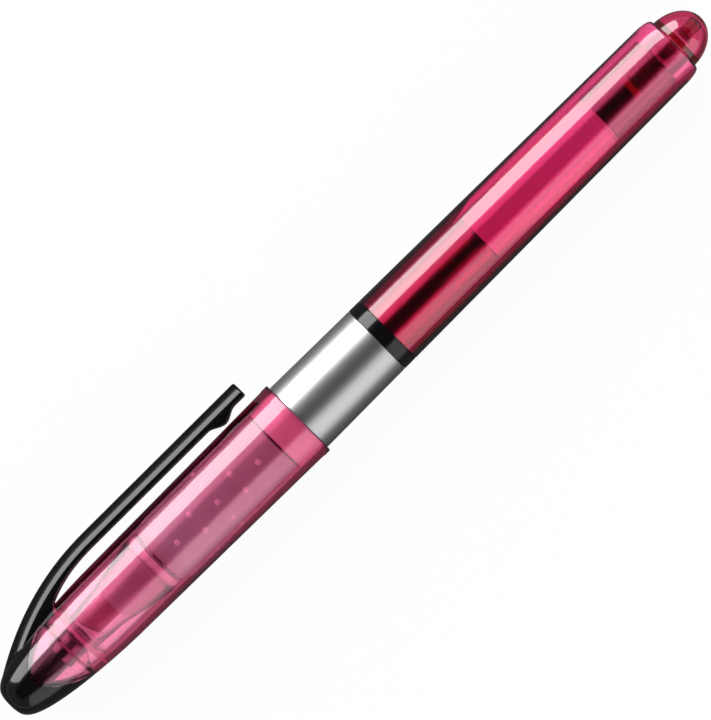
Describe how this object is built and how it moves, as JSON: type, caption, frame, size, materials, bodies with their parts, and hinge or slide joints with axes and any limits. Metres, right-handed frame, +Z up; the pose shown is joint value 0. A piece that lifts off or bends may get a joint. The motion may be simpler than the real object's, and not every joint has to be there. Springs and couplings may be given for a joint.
{
  "type": "capped liquid-ink highlighter",
  "caption": "Slim capped highlighter with a sprung pocket clip, a clear cap that pulls off, a soft grip, a silver sleeve and a clear ink barrel with a domed end plug.",
  "frame": {"origin": "under the middle of the pen's box, on the surface that it lies on", "axes": "+X from the nose of the cap to the domed end plug, +Y towards the clip, +Z up"},
  "size_m": [0.14, 0.0166, 0.013],
  "materials": {
    "cap_pink": "clear moulded pink, polished",
    "inner_clear": "clear moulded, pale pink",
    "barrel_magenta": "clear moulded magenta, polished",
    "gloss_black": "opaque black, polished",
    "silver": "bright silver, fine turned finish",
    "grip_grey": "matt soft grey",
    "felt_pink": "dense fibre soaked with pink ink",
    "holder_pink": "milky pale pink",
    "section_crimson": "deep crimson, semi-gloss",
    "wick_crimson": "fibre rod soaked with ink",
    "ink_pink": "clear fluorescent pink liquid",
    "rubber_black": "matt black",
    "seal_crimson": "satin crimson"
  },
  "bodies": {
    "pen": {"nib": "felt_pink", "nib_holder": "holder_pink", "nib_collar": "holder_pink", "front_section": "section_crimson", "grip_sleeve": "grip_grey", "metal_sleeve": "silver", "trim_ring": "gloss_black", "collector": "section_crimson", "ink_wick": "wick_crimson", "wick_guide": "section_crimson", "barrel": "barrel_magenta", "ink_charge": "ink_pink", "tank_stopper": "section_crimson", "stopper_slug": "rubber_black", "ribbed_seal": "seal_crimson", "end_plug": "barrel_magenta"},
    "cap": {"cap_shell": "cap_pink", "cap_nose": "gloss_black", "inner_cap": "inner_clear"},
    "clip": {"clip_arm": "gloss_black"}
  },
  "joints": [
    {"name": "cap_slide", "type": "slide", "parent": "pen", "child": "cap", "axis": [-1, 0, 0], "range_m": [0, 0.05]},
    {"name": "clip_flex", "type": "hinge", "parent": "cap", "child": "clip", "pos_m": [-0.05495, 0.00596, 0.0065], "axis": [0, 0, 1], "range_deg": [0, 4], "stiffness_Nm_per_rad": 0.05}
  ]
}
